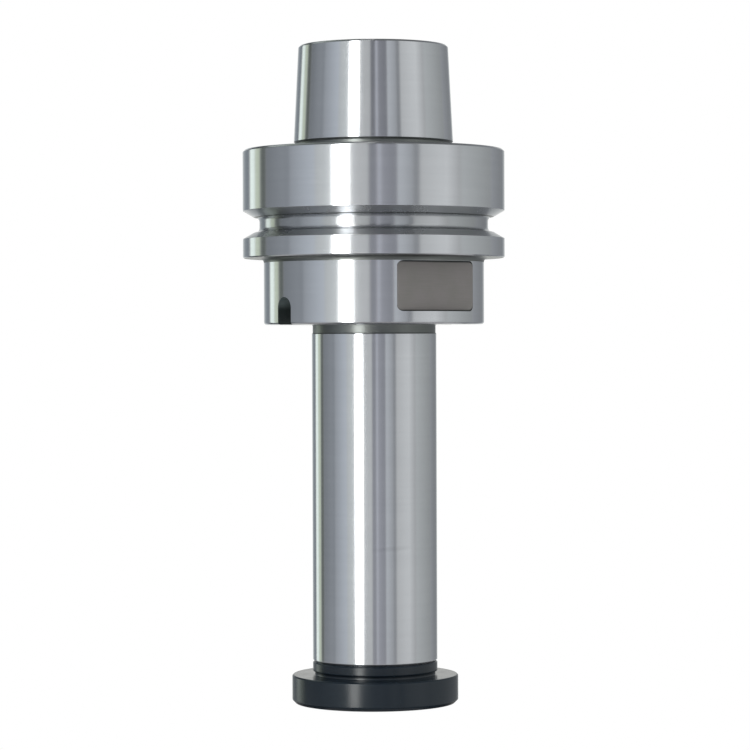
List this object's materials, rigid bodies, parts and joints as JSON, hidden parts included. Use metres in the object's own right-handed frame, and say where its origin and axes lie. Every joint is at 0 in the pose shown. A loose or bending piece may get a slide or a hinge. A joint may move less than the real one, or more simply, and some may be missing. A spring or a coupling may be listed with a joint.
{
  "type": "shell mill arbor",
  "caption": "Hollow-shank taper arbor with a grooved flange, a shouldered shaft for bored cutters and saw blades, and a black end cap held by a countersunk screw.",
  "frame": {"origin": "centre of the flange face that meets the spindle", "axes": "+Z along the axis, up into the spindle; the cutters sit on the shaft towards -Z; the spanner flats face +Y and -Y, and the drive notches face +X and -X"},
  "size_m": [0.063, 0.063, 0.158],
  "materials": {
    "ground_steel": "hardened steel, ground bright on the shank, flange rims, body and shaft, turned or milled elsewhere",
    "black_oxide_steel": "turned steel with an oiled black oxide finish",
    "screw_steel": "blackened high-strength screw steel",
    "pin_steel": "hardened and ground"
  },
  "bodies": {
    "arbor": {"arbor_body": "ground_steel", "cap_pin_left": "pin_steel", "cap_pin_right": "pin_steel"},
    "cap": {"clamp_cap": "black_oxide_steel"},
    "screw": {"clamp_screw": "screw_steel"}
  },
  "joints": [
    {"name": "screw_turn", "type": "hinge", "parent": "cap", "child": "screw", "pos_m": [0, 0, -0.133], "axis": [0, 0, -1], "range_deg": [0, 5040]},
    {"name": "cap_slide", "type": "slide", "parent": "arbor", "child": "cap", "axis": [0, 0, -1], "range_m": [0, 0.0245]}
  ],
  "couplings": [
    {"joint": "screw_turn", "follows": "cap_slide", "rad_per_m": 3590.4}
  ]
}
